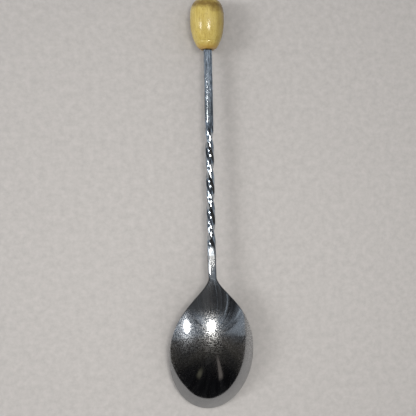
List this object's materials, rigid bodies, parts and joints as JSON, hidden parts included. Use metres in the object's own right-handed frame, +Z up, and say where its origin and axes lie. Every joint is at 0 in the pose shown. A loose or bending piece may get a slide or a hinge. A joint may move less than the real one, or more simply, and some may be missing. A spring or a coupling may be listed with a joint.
{
  "type": "sugar spoon",
  "caption": "Sugar spoon lying face down: oval polished steel bowl, flat-bar stem with a decorative twist, and a turned wooden knob at the handle end.",
  "frame": {"origin": "on the floor, below the middle of the spoon's box", "axes": "+Y along the spoon from the bowl's tip to the knob, +Z up, away from the floor the spoon lies on with its bowl's hollow down"},
  "size_m": [0.0322, 0.1544, 0.0155],
  "materials": {
    "polished_steel": "polished",
    "weld_steel": "polished",
    "bar_steel": "polished",
    "varnished_wood": "gloss",
    "cured_glue": "gloss"
  },
  "bodies": {
    "root": {"bowl": "polished_steel", "neck_weld": "weld_steel", "stem": "bar_steel", "knob": "varnished_wood", "knob_glue": "cured_glue"}
  },
  "joints": []
}
